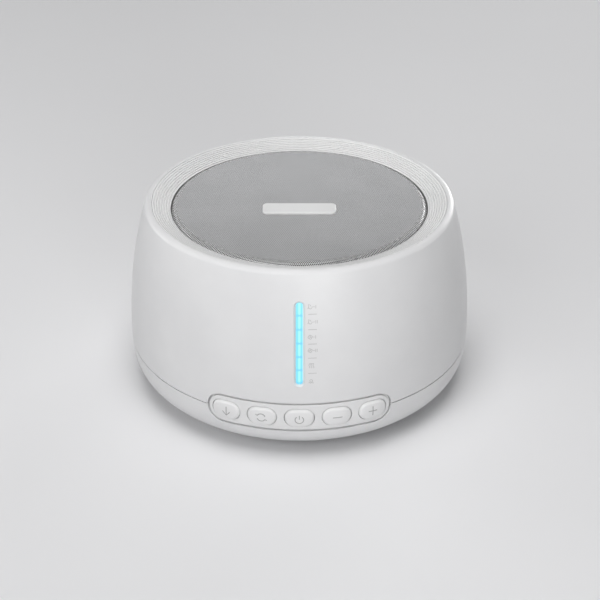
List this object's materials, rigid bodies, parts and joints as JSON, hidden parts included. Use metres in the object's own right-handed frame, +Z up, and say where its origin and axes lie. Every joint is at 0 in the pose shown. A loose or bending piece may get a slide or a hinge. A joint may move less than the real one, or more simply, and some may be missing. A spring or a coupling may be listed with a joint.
{
  "type": "white noise sound machine",
  "caption": "Squat round bedside sound machine: a mesh grille in a grooved dish on top, a lit bar in the front wall and a curved row of domed keys below it.",
  "frame": {"origin": "centre of the plane the feet stand on, on the body's vertical axis", "axes": "+Z up; the front with its light bar and keys faces -Y; +X is to the right seen from the front"},
  "size_m": [0.112, 0.1129, 0.063],
  "materials": {
    "housing_plastic": "satin white moulding",
    "panel_plastic": "satin white moulding",
    "key_plastic": "satin white moulding",
    "grille_metal": "grey perforated sheet",
    "badge_metal": "bright bare plate",
    "lens_plastic": "lit light guide",
    "rubber_pad": "soft grey",
    "screw_steel": "plated",
    "board_green": "solder mask",
    "flex_amber": "flexible film",
    "chip_black": "moulded",
    "connector_cream": "moulded",
    "switch_black": "moulded",
    "carrier_grey": "moulded",
    "divider_white": "moulded",
    "light_white": "lights",
    "frame_black": "black coated",
    "plate_steel": "zinc plated",
    "magnet_grey": "sintered ferrite",
    "cone_paper": "pressed paper",
    "surround_rubber": "moulded",
    "spider_cloth": "resin cloth",
    "coil_copper": "enamelled wire",
    "gasket_foam": "foam",
    "lead_black": "insulated lead",
    "inlet_steel": "plated",
    "capacitor_can": "bare can"
  },
  "bodies": {
    "housing": {"upper_housing": "housing_plastic", "lower_housing": "housing_plastic", "grooved_ring": "housing_plastic", "speaker_grille": "grille_metal", "badge_plate": "badge_metal", "ring_screws": "screw_steel", "case_screws": "screw_steel", "rubber_feet": "rubber_pad", "key_panel": "panel_plastic", "key_flex_board": "flex_amber", "key_carrier": "carrier_grey", "carrier_screws": "screw_steel", "light_bar_lens": "lens_plastic", "light_divider": "divider_white", "bar_lights": "light_white", "light_board": "board_green", "light_board_screws": "screw_steel", "speaker_frame": "frame_black", "speaker_gasket": "gasket_foam", "speaker_surround": "surround_rubber", "speaker_spider": "spider_cloth", "speaker_top_plate": "plate_steel", "speaker_magnet": "magnet_grey", "speaker_yoke": "plate_steel", "speaker_screws": "screw_steel", "terminal_board": "flex_amber", "main_board": "board_green", "board_screws": "screw_steel", "control_chip": "chip_black", "memory_chip": "chip_black", "amplifier_chip": "chip_black", "light_socket": "connector_cream", "speaker_socket": "connector_cream", "chokes": "chip_black", "capacitors": "capacitor_can", "flex_connector": "connector_cream", "power_inlet_shell": "inlet_steel", "power_inlet_core": "chip_black", "light_lead": "lead_black", "speaker_lead": "lead_black", "switch_body_timer": "switch_black", "switch_body_sound": "switch_black", "switch_body_power": "switch_black", "switch_body_volume_down": "switch_black", "switch_body_volume_up": "switch_black"},
    "timer_key": {"key_timer": "key_plastic", "switch_plunger_timer": "switch_black"},
    "sound_key": {"key_sound": "key_plastic", "switch_plunger_sound": "switch_black"},
    "power_key": {"key_power": "key_plastic", "switch_plunger_power": "switch_black"},
    "volume_down_key": {"key_volume_down": "key_plastic", "switch_plunger_volume_down": "switch_black"},
    "volume_up_key": {"key_volume_up": "key_plastic", "switch_plunger_volume_up": "switch_black"},
    "cone": {"speaker_cone": "cone_paper", "dust_cap": "cone_paper", "voice_coil": "coil_copper"}
  },
  "joints": [
    {"name": "timer_key_press", "type": "slide", "parent": "housing", "child": "timer_key", "axis": [0.4019, 0.9157, 0], "range_m": [0, 0.0004], "stiffness_N_per_m": 1500, "springref_m": -0.0005},
    {"name": "sound_key_press", "type": "slide", "parent": "housing", "child": "sound_key", "axis": [0.2053, 0.9787, 0], "range_m": [0, 0.0004], "stiffness_N_per_m": 1500, "springref_m": -0.0005},
    {"name": "power_key_press", "type": "slide", "parent": "housing", "child": "power_key", "axis": [0, 1, 0], "range_m": [0, 0.0004], "stiffness_N_per_m": 1500, "springref_m": -0.0005},
    {"name": "volume_down_key_press", "type": "slide", "parent": "housing", "child": "volume_down_key", "axis": [-0.2053, 0.9787, 0], "range_m": [0, 0.0004], "stiffness_N_per_m": 1500, "springref_m": -0.0005},
    {"name": "volume_up_key_press", "type": "slide", "parent": "housing", "child": "volume_up_key", "axis": [-0.4019, 0.9157, 0], "range_m": [0, 0.0004], "stiffness_N_per_m": 1500, "springref_m": -0.0005},
    {"name": "cone_travel", "type": "slide", "parent": "housing", "child": "cone", "axis": [0, 0, 1], "range_m": [-0.0012, 0.0012], "stiffness_N_per_m": 1000, "deforming": ["speaker_surround", "speaker_spider"]}
  ]
}
